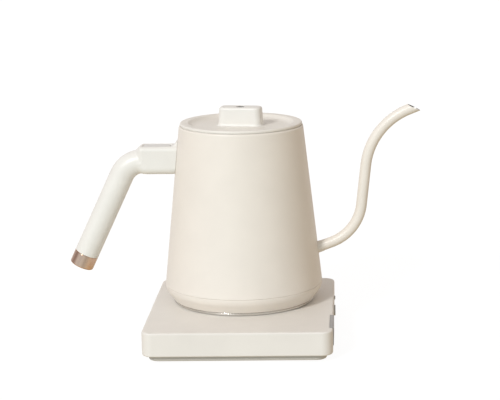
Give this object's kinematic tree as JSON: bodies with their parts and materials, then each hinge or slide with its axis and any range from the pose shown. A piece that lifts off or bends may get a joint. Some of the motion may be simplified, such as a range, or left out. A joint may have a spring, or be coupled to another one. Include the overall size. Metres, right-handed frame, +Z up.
{
  "type": "electric gooseneck kettle",
  "caption": "Slim electric pour-over kettle with a gooseneck spout, an angled grip handle and a lift-off lid with a vented knob, standing on a flat square power base.",
  "frame": {"origin": "middle of the power base, on the surface its feet stand on", "axes": "+X from the handle towards the spout, +Y from the control edge's front corner towards the cord gland at the back, +Z up"},
  "size_m": [0.2923, 0.1715, 0.1882],
  "materials": {
    "base_plastic": "fine matt",
    "cover_plastic": "matt",
    "foot_rubber": "matt",
    "screw_steel": "plain",
    "connector_plastic": "satin",
    "contact_brass": "plated",
    "board_green": "satin",
    "component_plastic": "satin",
    "terminal_plastic": "satin",
    "dark_plastic": "satin",
    "display_plastic": "gloss",
    "control_plastic": "satin",
    "body_paint": "matt powder coat",
    "steel": "brushed",
    "ring_plastic": "matt",
    "silicone": "matt",
    "trim_steel": "polished",
    "aluminium": "plain",
    "cover_inner": "satin",
    "handle_plastic": "smooth satin",
    "thumb_plastic": "soft touch",
    "copper_cap": "copper-coloured, polished",
    "lid_paint": "matt powder coat"
  },
  "bodies": {
    "base": {"base_top_shell": "base_plastic", "base_bottom_cover": "cover_plastic", "base_feet": "foot_rubber", "base_screws": "screw_steel", "base_connector": "connector_plastic", "base_contacts": "contact_brass", "control_board": "board_green", "board_components": "component_plastic", "terminal_block": "terminal_plastic", "cord_gland": "dark_plastic", "display_window": "display_plastic", "display_module": "dark_plastic", "button_switch": "dark_plastic", "hold_switch": "dark_plastic"},
    "power_button": {"power_button": "control_plastic"},
    "hold_slider": {"hold_slider": "control_plastic"},
    "coupler": {"kettle_connector": "connector_plastic", "kettle_contacts": "contact_brass"},
    "kettle": {"kettle_shell": "body_paint", "neck_ring": "steel", "spout": "body_paint", "spout_collar": "body_paint", "lower_ring": "ring_plastic", "seam_seal": "silicone", "trim_ring": "trim_steel", "bottom_plate": "steel", "heat_spreader": "aluminium", "heating_element": "steel", "thermal_cutout": "dark_plastic", "temperature_probe": "steel", "probe_seal": "silicone", "underside_cover": "cover_inner", "underside_screws": "screw_steel", "handle_bracket": "steel", "handle_shell": "handle_plastic", "thumb_inlay": "thumb_plastic", "handle_core": "aluminium", "handle_screws": "screw_steel", "handle_end_cap": "copper_cap"},
    "lid_seal": {"lid_gasket": "silicone"},
    "lid": {"lid_top": "lid_paint", "lid_cup": "steel", "lid_knob": "handle_plastic", "lid_screws": "screw_steel", "vent_tube": "steel"}
  },
  "joints": [
    {"name": "kettle_lift", "type": "slide", "parent": "base", "child": "coupler", "axis": [0, 0, 1], "range_m": [0, 0.06]},
    {"name": "kettle_swivel", "type": "hinge", "parent": "coupler", "child": "kettle", "pos_m": [0, 0.021, 0.0251], "axis": [0, 0, 1], "continuous": true},
    {"name": "lid_lift", "type": "slide", "parent": "kettle", "child": "lid_seal", "axis": [0, 0, 1], "range_m": [0, 0.05]},
    {"name": "lid_turn", "type": "hinge", "parent": "lid_seal", "child": "lid", "pos_m": [0, 0.021, 0.1661], "axis": [0, 0, 1], "continuous": true},
    {"name": "power_button_press", "type": "slide", "parent": "base", "child": "power_button", "axis": [-1, 0, 0], "range_m": [0, 0.0005], "stiffness_N_per_m": 600, "springref_m": -0.0005},
    {"name": "hold_slide", "type": "slide", "parent": "base", "child": "hold_slider", "axis": [0, 1, 0], "range_m": [0, 0.003]}
  ]
}
